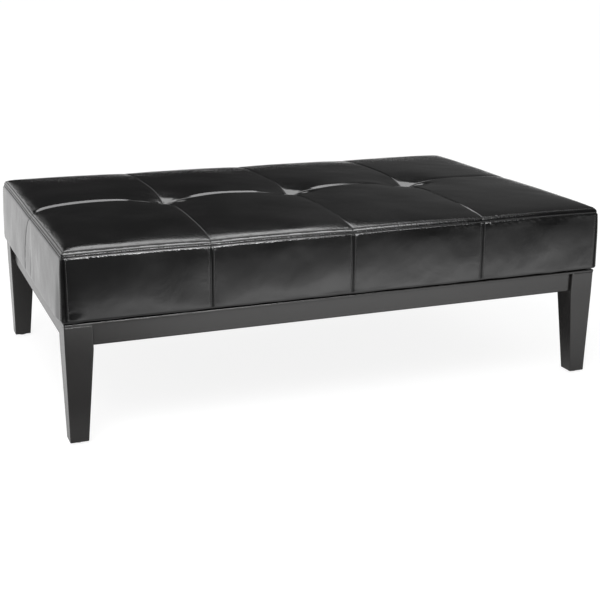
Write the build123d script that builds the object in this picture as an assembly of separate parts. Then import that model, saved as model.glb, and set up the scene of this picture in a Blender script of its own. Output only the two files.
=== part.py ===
from build123d import *
import os
from math import sqrt

# An ottoman coffee table: a tufted leather cushion on a black painted wooden base.
# Millimetres, +X along the length, +Y towards the back, +Z up, with the origin on the floor
# under the middle of the table.

# The base
base_length = 1300.0
base_depth = 810.0
glide_height = 5.0
glide_diameter = 20.0
leg_height = 257.0
leg_top_width = 60.0
leg_foot_width = 40.0
leg_outer_taper = 2.0
leg_shoulder_drop = 6.0
leg_edge_chamfer = 1.5
leg_inner_chamfer = 14.0
apron_height = 46.0
apron_thickness = 20.0
apron_inset = 8.5
apron_edge_chamfer = 1.5
apron_end_gap = 0.5
cap_thickness = 6.0
cap_width = 62.0
cap_edge_radius = 1.5

# The corner blocks and their hardware
block_thickness = 28.0
block_height = 36.0
bolt_diameter = 8.0
bolt_grip = 34.0
bolt_tail = 14.0
nut_across_flats = 13.0
nut_height = 6.5
washer_width = 22.0
washer_thickness = 1.6
block_tongue_length = 8.0
block_tongue_width = 16.0
screw_diameter = 6.0
screw_across_flats = 10.0
screw_head_height = 4.0
screw_length = 70.0
screw_along = 84.0
screw_across = 36.0

# The deck inside the cushion
rail_width = 45.0
rail_height = 60.0
rail_setback = 8.0
board_thickness = 12.0
dust_cover_thickness = 0.8
dust_cover_margin = 42.0
strap_width = 22.0
strap_thickness = 1.6
strap_tail = 34.0
cleat_length = 50.0
cleat_width = 18.0
cleat_thickness = 6.0
slot_margin = 2.0

# The cushion's cover and its padding
leather_thickness = 1.6
cushion_overhang = 2.5
hem_width = 30.0
boxing_height = 140.0
boxing_lean = 7.0
panel_bulge = 2.5
corner_radius = 10.0
roll_width = 36.0
roll_rise = 17.5
crown_height = 31.5
cross_seam_dip = 6.5
centre_seam_dip = 7.5
tuft_depth = 24.0
tuft_reach = 54.0
edge_lip = 0.6
panels_along = 4

# Fits
clearance = 0.3
hole_clearance = 0.4
overrun = 20.0

# The top's shape: the crest as a share of the half depth, arcs as shares of their chords
crest_share = 0.25
near_dip_share = 0.3
near_valley_share = 0.55
roll_sag_share = 0.11
slope_sag_share = 0.013
fall_sag_share = 0.03

# The side's profile: shares of its height, of its lean and of its panels' bulge
side_profile_shares = [(0, 0.6, 0.2), (0.28, 0, 1), (1, 1, 0.1)]

# Heights above the floor
leg_top = glide_height + leg_height
apron_bottom = leg_top - apron_height
taper_top = apron_bottom - leg_shoulder_drop
cap_top = leg_top + cap_thickness
cushion_bottom = cap_top
rail_bottom = cushion_bottom + leather_thickness
board_bottom = rail_bottom + rail_height
board_top = board_bottom + board_thickness
edge_seam_height = cushion_bottom + boxing_height
top_floor = edge_seam_height - overrun

# Half sizes in plan
half_length = base_length / 2
half_depth = base_depth / 2
foot_half_length = half_length + cushion_overhang
foot_half_depth = half_depth + cushion_overhang
seam_half_length = foot_half_length - boxing_lean
seam_half_depth = foot_half_depth - boxing_lean
rail_half_length = half_length - rail_setback
rail_half_depth = half_depth - rail_setback
apron_inner = apron_inset + apron_thickness
panel_pitch = base_length / panels_along
seam_places = [-half_length + panel_pitch * i for i in range(1, panels_along)]
corners = {
    "front_left": (-1, -1),
    "front_right": (1, -1),
    "back_left": (-1, 1),
    "back_right": (1, 1),
}


def save(shape, name):
    """Write one piece, or one group of like pieces, as a node."""
    export_step(shape, f"parts/{name}.step")


def solid_box(x0, x1, y0, y1, z0, z1):
    """A box between two corners."""
    return Pos((x0 + x1) / 2, (y0 + y1) / 2, (z0 + z1) / 2) * Box(x1 - x0, y1 - y0, z1 - z0)


def rod(diameter, start, end):
    """A round rod from one point to another."""
    start, end = Vector(*start), Vector(*end)
    way = end - start
    return extrude(Plane(origin=start, z_dir=way) * Circle(diameter / 2), way.length)


def prism(points, z0, z1):
    """An upright prism over a closed outline in plan."""
    return extrude(Plane.XY.offset(z0) * make_face(Polyline(*points, close=True)), z1 - z0)


def at_corner(name, shape):
    """Turn a shape made for the back right corner to another corner by mirroring."""
    side_x, side_y = corners[name]
    if side_x < 0:
        shape = mirror(shape, about=Plane.YZ)
    if side_y < 0:
        shape = mirror(shape, about=Plane.XZ)
    return shape


def inside(along, across):
    """The place at a distance in from the back right corner of the base, in plan."""
    return half_length - along, half_depth - across


def group(pieces):
    """Separate like pieces that share a node."""
    return Compound(children=list(pieces))


# The base's hardware, all placed from the back right corner

block_level = leg_top - block_height / 2
diagonal = 1 / sqrt(2)
chamfer_line = 2 * leg_top_width - leg_inner_chamfer
block_outer_line = chamfer_line + block_thickness / diagonal


def on_diagonal(reach):
    """The point on the corner's diagonal at a distance in from the base's corner."""
    x, y = inside(reach * diagonal, reach * diagonal)
    return x, y, block_level


chamfer_reach = chamfer_line * diagonal
block_reach = chamfer_reach + block_thickness


def make_hanger_bolt(diameter=bolt_diameter):
    """The bolt that draws a leg against its corner block."""
    return rod(diameter, on_diagonal(chamfer_reach - bolt_grip), on_diagonal(block_reach + bolt_tail))


def across_diagonal(reach, outline, thickness):
    """A flat piece square to the corner's diagonal, from a distance in towards the middle."""
    plane = Plane(origin=Vector(*on_diagonal(reach)), x_dir=(0, 0, 1), z_dir=(-diagonal, -diagonal, 0))
    return extrude(plane * outline, thickness) - make_hanger_bolt(bolt_diameter + hole_clearance)


def make_washer():
    """The square washer on the inner face of the corner block."""
    return across_diagonal(block_reach, Rectangle(washer_width, washer_width), washer_thickness)


def make_nut():
    """The hexagon nut on the washer."""
    hexagon = RegularPolygon(nut_across_flats / 2, 6, major_radius=False)
    return across_diagonal(block_reach + washer_thickness, hexagon, nut_height)


def screw_place():
    """The place in plan of the screw that holds the cushion down to a corner block."""
    return inside(screw_along, screw_across)


def make_deck_screw():
    """The hexagon-headed screw up through a corner block and a cap into the deck's long rail."""
    x, y = screw_place()
    seat = leg_top - block_height
    shank = rod(screw_diameter, (x, y, seat), (x, y, seat + screw_length))
    hexagon = RegularPolygon(screw_across_flats / 2, 6, major_radius=False)
    return shank + Pos(x, y, seat - screw_head_height) * extrude(hexagon, screw_head_height)


def make_screw_hole():
    """The hole that the deck screw passes through."""
    x, y = screw_place()
    seat = leg_top - block_height
    return rod(screw_diameter + hole_clearance, (x, y, seat), (x, y, seat + screw_length + clearance))


def block_tongue(side, spare=0.0):
    """The tongue on one end of a corner block, for the groove in the apron."""
    middle = (chamfer_line + block_outer_line) / 2 - apron_inner
    half, reach = block_tongue_width / 2 + spare, block_tongue_length + spare
    near, far = apron_inner - reach, apron_inner + hole_clearance
    outline = [(middle - half, near), (middle + half, near), (middle + half, far), (middle - half, far)]
    if side < 0:
        outline = [(q, p) for p, q in outline]
    return prism([inside(*point) for point in outline], leg_top - block_height, leg_top + spare)


def make_corner_block():
    """The block glued across the inside of a corner, with a tongue in either apron."""
    near, far = chamfer_line, block_outer_line
    outline = [
        inside(near - apron_inner, apron_inner),
        inside(far - apron_inner, apron_inner),
        inside(apron_inner, far - apron_inner),
        inside(apron_inner, near - apron_inner),
    ]
    block = prism(outline, leg_top - block_height, leg_top)
    block += block_tongue(1)
    block += block_tongue(-1)
    return block - make_hanger_bolt(bolt_diameter + hole_clearance) - make_screw_hole()


def foot_middle():
    """The middle of the foot of the back right leg, in plan."""
    reach = leg_outer_taper + leg_foot_width / 2
    return inside(reach, reach)


def eased_square(width, x, y, z):
    """The points of a level square with its corners cut off."""
    half, cut = width / 2, width / 2 - leg_edge_chamfer
    points = [(half, cut), (cut, half), (-cut, half), (-half, cut)]
    points += [(-half, -cut), (-cut, -half), (cut, -half), (half, -cut)]
    return [Vector(x + a, y + b, z) for a, b in points]


def flat_faced(outlines):
    """A solid with flat faces between level outlines that have like corners."""
    faces = [Face(Wire.make_polygon(outline)) for outline in (outlines[0], outlines[-1])]
    for low, high in zip(outlines, outlines[1:]):
        for a, b, c, d in zip(low, low[1:] + low[:1], high[1:] + high[:1], high):
            faces.append(Face(Wire.make_polygon([a, b, c, d])))
    return Solid(Shell(faces))


def make_leg():
    """A leg with a square top, tapered faces and a flat for its corner block."""
    x, y = inside(leg_top_width / 2, leg_top_width / 2)
    leg = flat_faced([
        eased_square(leg_foot_width, *foot_middle(), glide_height),
        eased_square(leg_top_width, x, y, taper_top),
        eased_square(leg_top_width, x, y, leg_top),
    ])
    near, far = leg_top_width - 2 * leg_inner_chamfer, leg_top_width + leg_inner_chamfer
    cut = [inside(far, near), inside(far, far), inside(near, far)]
    leg -= prism(cut, apron_bottom, leg_top + overrun)
    return leg - make_hanger_bolt(bolt_diameter + hole_clearance)


def make_glide():
    """A round glide under a foot, flat to stand on."""
    x, y = foot_middle()
    return rod(glide_diameter, (x, y, 0), (x, y, glide_height))


def make_apron(along_x, side):
    """One apron between two legs, with eased edges and grooves for the corner blocks."""
    reach = half_length if along_x else half_depth
    across = half_depth if along_x else half_length
    half = reach - leg_top_width - apron_end_gap
    out = side * (across - apron_inset - apron_thickness / 2)
    plane = Plane.YZ if along_x else Plane.XZ
    bar = extrude(plane * Rectangle(apron_thickness, apron_height), half, both=True)
    axis = Axis.X if along_x else Axis.Y
    bar = chamfer(bar.edges().filter_by(axis), apron_edge_chamfer)
    middle = leg_top - apron_height / 2
    bar = Pos(0, out, middle) * bar if along_x else Pos(out, 0, middle) * bar
    groove = block_tongue(1 if along_x else -1, clearance)
    for place in corners:
        bar -= at_corner(place, groove)
    return bar


def frame_side(half_x, half_y, width, along_x, side, z0, z1):
    """One mitred side of a flat frame: the outline runs on the corners' diagonals."""
    if along_x:
        outer = [(-half_x, side * half_y), (half_x, side * half_y)]
        inner = [(half_x - width, side * (half_y - width)), (width - half_x, side * (half_y - width))]
    else:
        outer = [(side * half_x, -half_y), (side * half_x, half_y)]
        inner = [(side * (half_x - width), half_y - width), (side * (half_x - width), width - half_y)]
    return prism(outer + inner, z0, z1)


sides = {"front": (True, -1), "back": (True, 1), "left": (False, -1), "right": (False, 1)}


def all_screw_holes():
    """The holes of the four deck screws."""
    return [at_corner(name, make_screw_hole()) for name in corners]


def make_cap(along_x, side):
    """A thin cap strip on the aprons and legs, mitred at the corners, rounded at its edge."""
    cap = frame_side(half_length, half_depth, cap_width, along_x, side, leg_top, cap_top)
    edges = cap.edges().filter_by(Axis.X if along_x else Axis.Y).group_by(Axis.Z)[-1]
    outer = edges.sort_by(Axis.Y if along_x else Axis.X)[-1 if side > 0 else 0]
    cap = fillet(outer, cap_edge_radius)
    for hole in all_screw_holes():
        cap -= hole
    return cap


# The deck: a frame of rails under a board

def make_rail(along_x, side):
    """One rail: the long ones run through, the short ones stand between them."""
    if along_x:
        y = sorted([side * rail_half_depth, side * (rail_half_depth - rail_width)])
        rail = solid_box(-rail_half_length, rail_half_length, *y, rail_bottom, board_bottom)
    else:
        x = sorted([side * rail_half_length, side * (rail_half_length - rail_width)])
        reach = rail_half_depth - rail_width
        rail = solid_box(*x, -reach, reach, rail_bottom, board_bottom)
    for hole in all_screw_holes():
        rail -= hole
    return rail


def make_cross_rails():
    """The cross rails, halfway between the tufts on either side of the middle."""
    reach = rail_half_depth - rail_width
    half = rail_width / 2
    places = [-panel_pitch / 2, panel_pitch / 2]
    return group([solid_box(x - half, x + half, -reach, reach, rail_bottom, board_bottom) for x in places])


def tuft_slots(z0, z1, spare=slot_margin):
    """The slots that the tufting straps pass through."""
    half, thick = strap_width / 2 + spare, strap_thickness / 2 + spare
    return [solid_box(x - half, x + half, -thick, thick, z0, z1) for x in seam_places]


def make_board():
    """The plywood deck board, slotted for the tufting straps."""
    board = solid_box(
        -rail_half_length, rail_half_length, -rail_half_depth, rail_half_depth, board_bottom, board_top
    )
    for slot in tuft_slots(board_bottom - overrun, board_top + overrun):
        board -= slot
    return board


def make_dust_cover():
    """The thin cloth under the deck's rails, inside the cover's hem and the screws."""
    x, y = half_length - dust_cover_margin, half_depth - dust_cover_margin
    return solid_box(-x, x, -y, y, rail_bottom - dust_cover_thickness, rail_bottom)


def make_tuft_straps():
    """The straps that pull the cover down at the tufts, each turned back under the board."""
    top = edge_seam_height + crown_height - tuft_depth - leather_thickness - clearance
    straps = []
    for x, upright in zip(seam_places, tuft_slots(board_bottom - strap_thickness, top, 0)):
        half = strap_width / 2
        tail = solid_box(
            x - half, x + half, -strap_thickness / 2, strap_tail, board_bottom - strap_thickness, board_bottom
        )
        straps.append(upright + tail)
    return group(straps)


def make_strap_cleats():
    """The cleats under the board that clamp the straps' tails."""
    top = board_bottom - strap_thickness
    half = cleat_length / 2
    y0, y1 = strap_tail - cleat_width, strap_tail
    return group([solid_box(x - half, x + half, y0, y1, top - cleat_thickness, top) for x in seam_places])


# The cushion's sides: a loft through three outlines that bulge between their seams

def side_outline(half_x, half_y, radius, bulge, z):
    """A closed outline whose panels bulge between the seams, with a round arc at each corner."""
    long_stops = [-half_x + radius] + seam_places + [half_x - radius]
    short_stops = [-half_y + radius, 0, half_y - radius]
    nook = radius * (1 - diagonal)

    def run(stops, across, out):
        """The bulging arcs along one side, from its first stop to its last."""
        return [((a, across), ((a + b) / 2, across + out), (b, across)) for a, b in zip(stops, stops[1:])]

    front = run(long_stops, -half_y, -bulge)
    right = [tuple((q, p) for p, q in arc) for arc in run(short_stops, half_x, bulge)]
    back = [tuple((-p, -q) for p, q in arc) for arc in front]
    left = [tuple((-p, -q) for p, q in arc) for arc in right]

    def corner(side_x, side_y, first, last):
        """The quarter arc between two sides."""
        return (first, (side_x * (half_x - nook), side_y * (half_y - nook)), last)

    arcs = front + [corner(1, -1, front[-1][2], right[0][0])]
    arcs += right + [corner(1, 1, right[-1][2], back[0][0])]
    arcs += back + [corner(-1, 1, back[-1][2], left[0][0])]
    arcs += left + [corner(-1, -1, left[-1][2], front[0][0])]
    edges = [Edge.make_three_point_arc(*[Vector(x, y, z) for x, y in arc]) for arc in arcs]
    return Wire(edges)


def side_form(inset):
    """The solid inside the cushion's upright sides, drawn in by the inset all round."""
    outlines = []
    for height_share, lean_share, bulge_share in side_profile_shares:
        x = foot_half_length - boxing_lean * lean_share - inset
        y = foot_half_depth - boxing_lean * lean_share - inset
        z = cushion_bottom + boxing_height * height_share
        outlines.append(side_outline(x, y, corner_radius - inset, panel_bulge * bulge_share, z))
    return Solid.make_loft(outlines, True)


# The cushion's top: a loft for each column of panels, through sections across the table that
# reach below the edge seam, so that what is cut from them is cut right through

def arc_between(a, b, sag_share):
    """An arc from a to b that rises above its chord by a share of the chord's length."""
    (ya, za), (yb, zb) = a, b
    rise = abs(yb - ya) * sag_share
    slope = (zb - za) / (yb - ya)
    middle = ((ya + yb) / 2 - slope * rise, (za + zb) / 2 + rise)
    return a, middle, b


def lifted(height, inset):
    """A height above the edge seam, less the inset, and never under the lip."""
    return edge_seam_height + max(height - inset, edge_lip / 2)


def roll_arcs(edge, crest, height, inset):
    """The two arcs up from the edge seam: round the roll, then along the slope to the crest."""
    rim = (edge, edge_seam_height)
    shoulder = (edge - roll_width, lifted(roll_rise, inset))
    top = (crest, lifted(height, inset))
    return [arc_between(rim, shoulder, roll_sag_share), arc_between(shoulder, top, slope_sag_share)]


def top_section(x, edge, crest, valley, inset):
    """The outline across the table at x: edge rolls, pillows, and the valley between them."""
    half = roll_arcs(edge, seam_half_depth * crest_share, crest, inset)
    half.append(arc_between(half[-1][2], (0, lifted(valley, inset)), fall_sag_share))
    other = [tuple((-y, z) for y, z in reversed(arc)) for arc in reversed(half)]
    edges = [Edge.make_three_point_arc(*[Vector(x, y, z) for y, z in arc]) for arc in half + other]
    under = [(-edge, edge_seam_height), (-edge, top_floor), (edge, top_floor), (edge, edge_seam_height)]
    edges += Polyline(*[(x, y, z) for y, z in under]).edges()
    return Wire(edges)


def tuft_section(x, inset):
    """The section over a cross seam and its tuft."""
    crest = crown_height - cross_seam_dip
    return top_section(x, seam_half_depth - inset, crest, crown_height - tuft_depth, inset)


def near_section(x, inset):
    """The section where a tuft's hollow runs out."""
    crest = crown_height - cross_seam_dip * near_dip_share
    valley = crown_height - tuft_depth * near_valley_share
    return top_section(x, seam_half_depth - inset, crest, valley, inset)


def middle_section(x, inset):
    """The section over the middle of a panel."""
    return top_section(x, seam_half_depth - inset, crown_height, crown_height - centre_seam_dip, inset)


def inner_column(start, inset):
    """The top between two cross seams, with a tuft at either end."""
    end = start + panel_pitch
    sections = [
        tuft_section(start, inset),
        near_section(start + tuft_reach, inset),
        middle_section((start + end) / 2, inset),
        near_section(end - tuft_reach, inset),
        tuft_section(end, inset),
    ]
    return Solid.make_loft(sections, True)


def end_roll(side, start, inset):
    """The form under the cushion's end, as high as the roll there lets it be."""
    end = seam_half_length - inset
    middle = half_length - panel_pitch / 2
    arcs = roll_arcs(end, middle, crown_height, inset)
    edges = [Edge.make_three_point_arc(*[Vector(side * x, 0, z) for x, z in arc]) for arc in arcs]
    high = edge_seam_height + crown_height + overrun
    points = [(middle, arcs[-1][2][1]), (middle, high), (start, high), (start, top_floor)]
    points += [(end, top_floor), (end, edge_seam_height)]
    edges += Polyline(*[(side * x, 0, z) for x, z in points]).edges()
    return extrude(make_face(Wire(edges)), base_depth, both=True)


def end_column(side, inset):
    """The top from the outermost cross seam to the roll at the cushion's end."""
    start = half_length - panel_pitch
    end = seam_half_length - inset
    sections = [
        tuft_section(side * start, inset),
        near_section(side * (start + tuft_reach), inset),
        middle_section(side * (half_length - panel_pitch / 2), inset),
        middle_section(side * end, inset),
    ]
    column = Solid.make_loft(sections, True) & end_roll(side, start, inset)
    plan = RectangleRounded(2 * end, 2 * (seam_half_depth - inset), corner_radius - inset)
    return column & extrude(Pos(0, 0, top_floor) * plan, overrun + 2 * crown_height)


def top_column(index, inset):
    """One of the columns of top panels, counted from the left."""
    if index in (0, panels_along - 1):
        return end_column(-1 if index == 0 else 1, inset)
    return inner_column(seam_places[index - 1], inset)


def make_top_panels():
    """The sewn panels of the cushion's top: two rows, split at the long centre seam."""
    high = edge_seam_height + 2 * crown_height
    near = solid_box(-base_length, base_length, -base_depth, 0, edge_seam_height, high)
    for index in range(panels_along):
        front = (top_column(index, 0) - top_column(index, leather_thickness)) & near
        save(front, f"cover_top_front_{index + 1}")
        save(mirror(front, about=Plane.XZ), f"cover_top_back_{index + 1}")


def side_regions():
    """The plan outline of each side panel: square ends at the seams, mitres at the corners."""
    deep = hem_width + boxing_lean
    out = overrun
    far_x, far_y = foot_half_length + out, foot_half_depth + out
    near_x, near_y = foot_half_length - deep, foot_half_depth - deep
    long_stops = [-half_length] + seam_places + [half_length]
    for name, side in (("front", -1), ("back", 1)):
        for index in range(panels_along):
            a, b = long_stops[index], long_stops[index + 1]
            first, last = index == 0, index == panels_along - 1
            outline = [
                (-far_x if first else a, side * far_y),
                (far_x if last else b, side * far_y),
                (near_x if last else b, side * near_y),
                (-near_x if first else a, side * near_y),
            ]
            yield f"cover_side_{name}_{index + 1}", outline
    for name, side in (("left", -1), ("right", 1)):
        for row, turn in (("front", -1), ("back", 1)):
            outline = [(side * far_x, 0), (side * far_x, turn * far_y)]
            outline += [(side * near_x, turn * near_y), (side * near_x, 0)]
            yield f"cover_side_{name}_{row}", outline


def make_side_panels():
    """The sewn side panels, each with the hem that is turned under the deck's rails."""
    skin = side_form(0)
    hollow = side_form(leather_thickness)
    hollow &= solid_box(-base_length, base_length, -base_depth, base_depth, rail_bottom, leg_top + base_depth)
    skin -= hollow
    x, y = foot_half_length - hem_width, foot_half_depth - hem_width
    skin -= solid_box(-x, x, -y, y, cushion_bottom - overrun, rail_bottom + overrun)
    for name, outline in side_regions():
        save(skin & prism(outline, cushion_bottom - overrun, edge_seam_height + overrun), name)


def make_padding():
    """The foam slab on the board, the fibre topper over it, and the pads round the rails."""
    gap = leather_thickness + clearance
    filling = side_form(gap)
    wide, deep = base_length, base_depth
    slab = filling & solid_box(-wide, wide, -deep, deep, board_top, edge_seam_height)
    topper = top_column(0, gap)
    for index in range(1, panels_along):
        topper += top_column(index, gap)
    high = edge_seam_height + 2 * crown_height
    topper &= solid_box(-wide, wide, -deep, deep, edge_seam_height, high)
    for slot in tuft_slots(board_bottom, high):
        slab -= slot
        topper -= slot
    save(slab, "foam_slab")
    save(topper, "fibre_topper")
    ring = filling & solid_box(-wide, wide, -deep, deep, rail_bottom, board_top)
    ring -= solid_box(
        -rail_half_length, rail_half_length, -rail_half_depth, rail_half_depth,
        rail_bottom - overrun, board_top + overrun,
    )
    for name, (along_x, side) in sides.items():
        far_x, far_y = half_length + overrun, half_depth + overrun
        wedge = frame_side(
            far_x, far_y, overrun + rail_setback + leg_top_width, along_x, side, rail_bottom, board_top
        )
        save(ring & wedge, f"side_pad_{name}")


os.makedirs("parts", exist_ok=True)

leg = make_leg()
block = make_corner_block()
for place in corners:
    save(at_corner(place, leg), f"leg_{place}")
    save(at_corner(place, block), f"corner_block_{place}")
for name, (along_x, side) in sides.items():
    apron = make_apron(along_x, side)
    save(apron, f"apron_{name}")
    save(make_cap(along_x, side), f"cap_{name}")
    save(make_rail(along_x, side), f"rail_{name}")

save(group([at_corner(place, make_glide()) for place in corners]), "foot_glides")
save(group([at_corner(place, make_hanger_bolt()) for place in corners]), "hanger_bolts")
save(group([at_corner(place, make_washer()) for place in corners]), "bolt_washers")
save(group([at_corner(place, make_nut()) for place in corners]), "bolt_nuts")
save(group([at_corner(place, make_deck_screw()) for place in corners]), "deck_screws")
save(make_cross_rails(), "cross_rails")
save(make_board(), "deck_board")
save(make_dust_cover(), "dust_cover")
save(make_tuft_straps(), "tuft_straps")
save(make_strap_cleats(), "strap_cleats")
make_padding()
make_side_panels()
make_top_panels()
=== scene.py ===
# %% [markdown]
# # An ottoman coffee table
#
# The table is a wooden base and a leather cushion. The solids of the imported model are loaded
# as a fixed frame. The base's pieces keep their solids and get paint and metal. The cushion's
# cover is made anew here, because sewn leather has folds, stitches and a crown that the
# solids only outline.

# %% Load the frame and keep its box
import math

import bpy
import numpy as np
from mathutils import Matrix, Vector


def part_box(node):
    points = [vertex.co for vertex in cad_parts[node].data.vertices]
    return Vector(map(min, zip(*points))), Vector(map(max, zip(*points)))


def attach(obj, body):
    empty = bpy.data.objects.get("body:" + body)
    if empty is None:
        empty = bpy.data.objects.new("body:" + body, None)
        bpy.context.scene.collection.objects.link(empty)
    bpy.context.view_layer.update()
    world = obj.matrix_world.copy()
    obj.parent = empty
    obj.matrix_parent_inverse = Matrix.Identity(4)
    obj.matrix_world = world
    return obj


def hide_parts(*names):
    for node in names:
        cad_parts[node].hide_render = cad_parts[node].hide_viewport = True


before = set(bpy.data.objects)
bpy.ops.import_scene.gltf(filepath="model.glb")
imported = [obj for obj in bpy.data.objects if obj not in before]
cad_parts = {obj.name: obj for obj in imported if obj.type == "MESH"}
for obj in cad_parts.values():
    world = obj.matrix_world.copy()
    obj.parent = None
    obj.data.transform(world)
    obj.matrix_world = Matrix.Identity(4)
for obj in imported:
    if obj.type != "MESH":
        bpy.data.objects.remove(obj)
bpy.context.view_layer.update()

# %% [markdown]
# ## The camera
#
# The camera stands to the front left of the table, a little above it, and leans very
# slightly anticlockwise. Its place is written as a point to look at, three angles and a
# distance, as a photographer would describe it. The small shifts move the picture without
# turning the camera.

# %% Camera
azimuth, elevation, roll = (math.radians(a) for a in (-22.266, 17.0986, 0.7039))
look_at = Vector((0.050056, 0.022789, 0.117266))
distance = 2.978784
picture_width = 600
focal_pixels = 1126.427
centre_x, centre_y = 301.544, 304.103

back = Vector((math.sin(azimuth) * math.cos(elevation), -math.cos(azimuth) * math.cos(elevation),
               math.sin(elevation)))
level = Vector((math.cos(azimuth), math.sin(azimuth), 0))
upright = back.cross(level)
right = level * math.cos(roll) + upright * math.sin(roll)
up = upright * math.cos(roll) - level * math.sin(roll)

camera_data = bpy.data.cameras.new("camera")
camera_data.sensor_fit = "HORIZONTAL"
camera_data.sensor_width = 36
camera_data.lens = focal_pixels * camera_data.sensor_width / picture_width
camera_data.shift_x = (picture_width / 2 - centre_x) / picture_width
camera_data.shift_y = (centre_y - picture_width / 2) / picture_width
camera_data.clip_end = 100
camera = bpy.data.objects.new("camera", camera_data)
place = look_at + back * distance
camera.matrix_world = Matrix((
    (right.x, up.x, back.x, place.x),
    (right.y, up.y, back.y, place.y),
    (right.z, up.z, back.z, place.z),
    (0, 0, 0, 1),
))
bpy.context.collection.objects.link(camera)
bpy.context.scene.camera = camera
bpy.context.scene.view_settings.view_transform = "Standard"
print("lens", round(camera_data.lens, 2), "mm at", tuple(round(c, 3) for c in place))

# %% [markdown]
# ## Finishes made of nodes
#
# Every finish is a small graph of nodes round one Principled shader. Written out in full, a
# node takes several lines, and the idea is lost among them. So one small class adds nodes
# to a graph and feeds their sockets, either with a plain value or from another node.

# %% Graphs of nodes
class Graph:
    """A tree of shader nodes, with a short way to add each kind that is used here."""

    def __init__(self, tree):
        self.nodes, self.links = tree.nodes, tree.links

    def feed(self, socket, value):
        """Join a socket to another node's output, or set it to a plain value."""
        if isinstance(value, bpy.types.NodeSocket):
            self.links.new(value, socket)
        else:
            socket.default_value = value

    def set(self, node, **sockets):
        """Feed a node's sockets by name, with _ for a space."""
        for name, value in sockets.items():
            self.feed(node.inputs[name.replace("_", " ")], value)
        return node

    def add(self, kind, settings=None, **sockets):
        """One node of a kind, with its settings, and its sockets fed by name."""
        node = self.nodes.new("ShaderNode" + kind)
        for name, value in (settings or {}).items():
            setattr(node, name, value)
        return self.set(node, **sockets)

    def place(self):
        """The place in the object's own frame, which is also the table's."""
        return self.add("TexCoord").outputs["Object"]

    def mark(self, name):
        """A number that the mesh carries at its points."""
        return self.add("Attribute", {"attribute_name": name}).outputs["Fac"]

    def along(self, vector, axis):
        """How far a vector reaches along an axis: their dot product."""
        node = self.add("VectorMath", {"operation": "DOT_PRODUCT"})
        self.feed(node.inputs[0], vector)
        self.feed(node.inputs[1], axis)
        return node.outputs["Value"]

    def reckon(self, operation, first, second):
        """A sum, a product or the like of two values."""
        node = self.add("Math", {"operation": operation})
        self.feed(node.inputs[0], first)
        self.feed(node.inputs[1], second)
        return node.outputs[0]

    def spread(self, value, span, to_span=(0.0, 1.0), soft=True):
        """Turn one span of a value into another, with soft ends or in a straight line."""
        node = self.add("MapRange", {"interpolation_type": "SMOOTHSTEP" if soft else "LINEAR"})
        for socket, source in zip(node.inputs, (value, *span, *to_span)):
            self.feed(socket, source)
        return node.outputs[0]

    def tint(self, share, first, second):
        """A colour between two, by a share from 0 to 1."""
        colours = {"A": (*first, 1), "B": (*second, 1)}
        return self.add("Mix", {"data_type": "RGBA"}, Factor=share, **colours).outputs["Result"]

    def choose(self, share, first, second):
        """A shader between two, by a share from 0 to 1."""
        node = self.add("MixShader")
        for socket, source in zip(node.inputs, (share, first, second)):
            self.feed(socket, source)
        return node.outputs[0]

    def bump(self, height, strength, distance, under=None):
        """Fine relief: the light meets the surface as if it had this height, over what lies under."""
        node = self.add("Bump", Height=height, Strength=strength, Distance=distance)
        if under is not None:
            self.feed(node.inputs["Normal"], under)
        return node.outputs["Normal"]


def new_finish(name):
    """A new material, its graph and its Principled shader."""
    material = bpy.data.materials.new(name)
    material.use_nodes = True
    graph = Graph(material.node_tree)
    return material, graph, graph.nodes["Principled BSDF"]


# %% [markdown]
# ## The studio floor
#
# The studio has a plain white ground. To the camera the floor is white, with a faint shadow.
# A glossy black thing shows only what it mirrors, so in mirrors the floor glows with painted
# light: a bright pool near the table, which fades towards the dark front of the studio, and a
# painted shadow under the table, where the table's shade would fall. One painted band across
# the front stays bright, where the table's upright front mirrors it.

# %% What mirrors see of the floor
painted_floor_band, floor_pale, floor_dark, painted_floor_shade = 1.6, 0.95, 0.14, 0.12
pool_lean, pool_span = (0.67, 1, 0), (-2.6, -0.85)
gain_span, front_gain = (-0.9, -0.4), 1.7
left_fade_span, left_share = (-0.55, -0.15), 0.35
right_fade_span, right_share = (0.5, 1.9), 0.45
beside_span = (-0.8, -0.3)
band_start_span, band_end_span = (-1.60, -1.26), (-1.22, -1.13)
table_reach_x, table_reach_y, shade_span = 0.65, 0.40, (-0.22, 0.14)


def mirrored_floor(graph):
    """What mirrors see of the floor, painted as a glow: a pale pool of light that grows towards the
    table, a bright band that runs along in front of it, the fading to either side, and a painted
    shadow under the table."""
    place = graph.place()
    x, y = graph.along(place, (1, 0, 0)), graph.along(place, (0, 1, 0))
    far = graph.spread(graph.along(place, pool_lean), pool_span, (floor_dark, floor_pale))
    gain = graph.spread(y, gain_span, (front_gain, 1.0))
    fade = graph.reckon("MULTIPLY", graph.spread(x, left_fade_span, (left_share, 1.0)),
                        graph.spread(x, right_fade_span, (1.0, right_share)))
    fade = graph.reckon("MAXIMUM", fade, graph.spread(y, beside_span))
    # The pool and the band are light painted into the floor's glow, which only mirrors see.
    pool = graph.reckon("MULTIPLY", far, graph.reckon("MULTIPLY", gain, fade))
    band = graph.reckon("MULTIPLY", graph.spread(y, band_start_span, (0.0, painted_floor_band)),
                        graph.spread(y, band_end_span, (1.0, 0.0)))
    # A painted shadow: the glow drops low in a box round the table, where its shade would fall.
    over_x = graph.reckon("SUBTRACT", graph.reckon("ABSOLUTE", x, 0.0), table_reach_x)
    over_y = graph.reckon("SUBTRACT", graph.reckon("ABSOLUTE", y, 0.0), table_reach_y)
    outside_painted_shadow = graph.spread(graph.reckon("MAXIMUM", over_x, over_y), shade_span, (painted_floor_shade, 1.0))
    return graph.reckon("MULTIPLY", graph.reckon("ADD", pool, band), outside_painted_shadow)
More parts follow.
